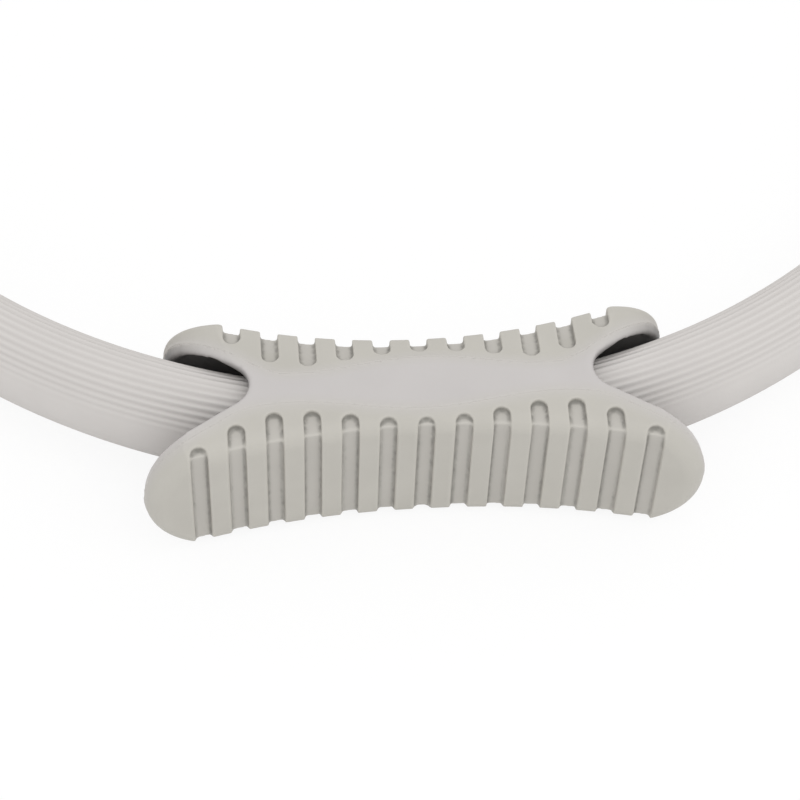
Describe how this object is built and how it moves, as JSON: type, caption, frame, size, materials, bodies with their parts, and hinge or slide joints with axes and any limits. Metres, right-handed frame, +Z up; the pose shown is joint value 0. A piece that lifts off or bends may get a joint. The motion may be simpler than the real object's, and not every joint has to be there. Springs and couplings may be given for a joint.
{
  "type": "pilates ring",
  "caption": "Sprung exercise ring: ribbed sleeves join opposite grips with slotted soft pads inside and outside; it flexes when the grips are squeezed and springs back.",
  "frame": {"origin": "below the middle of the ring, on the surface that the grips rest on", "axes": "+Z up along the ring's axis, Y from the front grip at -Y to the rear grip, X to the right"},
  "size_m": [0.3802, 0.399, 0.0404],
  "materials": {
    "pad": "matte moulded rubber",
    "shell": "satin moulded plastic",
    "sleeve": "ribbed foam rubber",
    "band": "glass-fibre strip",
    "clamp": "moulded nylon",
    "rivet": "plain",
    "screw": "zinc plated"
  },
  "bodies": {
    "front_grip": {"front_shell_upper": "shell", "front_shell_lower": "shell", "front_outer_pad": "pad", "front_inner_pad": "pad", "front_clamp_inner_cheek": "clamp", "front_clamp_outer_cheek": "clamp", "front_clamp_rivets": "rivet", "front_shell_screws": "screw"},
    "front_left_arm": {"front_left_sleeve": "sleeve", "left_inner_band": "band", "left_outer_band": "band"},
    "front_right_arm": {"front_right_sleeve": "sleeve", "right_inner_band": "band", "right_outer_band": "band"},
    "rear_left_arm": {"rear_left_sleeve": "sleeve"},
    "rear_right_arm": {"rear_right_sleeve": "sleeve"},
    "rear_grip": {"rear_shell_upper": "shell", "rear_shell_lower": "shell", "rear_outer_pad": "pad", "rear_inner_pad": "pad", "rear_clamp_inner_cheek": "clamp", "rear_clamp_outer_cheek": "clamp", "rear_clamp_rivets": "rivet", "rear_shell_screws": "screw"}
  },
  "joints": [
    {"name": "squeeze_front_left", "type": "hinge", "parent": "front_grip", "child": "front_left_arm", "pos_m": [-0.03404, -0.17675, 0.0202], "axis": [0, 0, 1], "range_deg": [0, 14], "stiffness_Nm_per_rad": 75},
    {"name": "flex_left_side", "type": "hinge", "parent": "front_left_arm", "child": "rear_left_arm", "pos_m": [-0.16985, 0, 0.0202], "axis": [0, 0, -1], "range_deg": [0, 28], "deforming": ["left_inner_band", "left_outer_band"]},
    {"name": "flex_rear_left", "type": "hinge", "parent": "rear_left_arm", "child": "rear_grip", "pos_m": [-0.03404, 0.17675, 0.0202], "axis": [0, 0, 1], "range_deg": [0, 14]},
    {"name": "flex_front_right", "type": "hinge", "parent": "front_grip", "child": "front_right_arm", "pos_m": [0.03404, -0.17675, 0.0202], "axis": [0, 0, -1], "range_deg": [0, 14]},
    {"name": "flex_right_side", "type": "hinge", "parent": "front_right_arm", "child": "rear_right_arm", "pos_m": [0.16985, 0, 0.0202], "axis": [0, 0, 1], "range_deg": [0, 28], "deforming": ["right_inner_band", "right_outer_band"]}
  ],
  "couplings": [
    {"joint": "flex_left_side", "follows": "squeeze_front_left", "ratio": 2},
    {"joint": "flex_rear_left", "follows": "squeeze_front_left", "ratio": 1},
    {"joint": "flex_front_right", "follows": "squeeze_front_left", "ratio": 1},
    {"joint": "flex_right_side", "follows": "squeeze_front_left", "ratio": 2}
  ]
}
